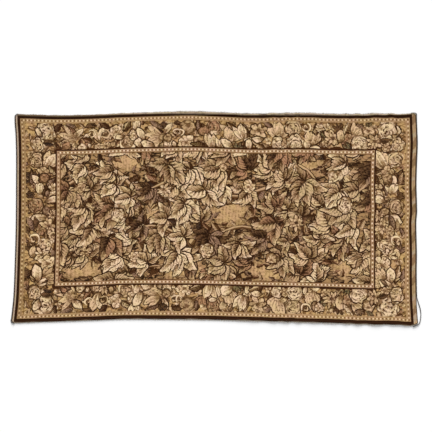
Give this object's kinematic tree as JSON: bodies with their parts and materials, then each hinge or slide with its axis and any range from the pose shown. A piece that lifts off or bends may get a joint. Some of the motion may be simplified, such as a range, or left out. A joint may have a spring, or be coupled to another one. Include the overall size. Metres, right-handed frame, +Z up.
{
  "type": "woven tapestry",
  "caption": "Flat rectangular machine-woven verdure tapestry with a flower border, beaded guard stripes, rolled selvedges and corded ends, lying face up.",
  "frame": {"origin": "on the surface it lies on, under the middle of the cloth with its two sewn cords", "axes": "+X along the long sides, from the picture's top end to its foot; +Y across the cloth; +Z up, out of the woven face"},
  "size_m": [1.9492, 1.0226, 0.0053],
  "materials": {
    "woven_wool": "ribbed jacquard weave of wool and cotton in gold, cream, brown and near-black, matt",
    "edge_cord": "twisted cotton cord, dark brown-grey, matt"
  },
  "bodies": {
    "root": {"tapestry_cloth": "woven_wool", "edge_cord_left": "edge_cord", "edge_cord_right": "edge_cord", "edge_cord_loose": "edge_cord"}
  },
  "joints": []
}
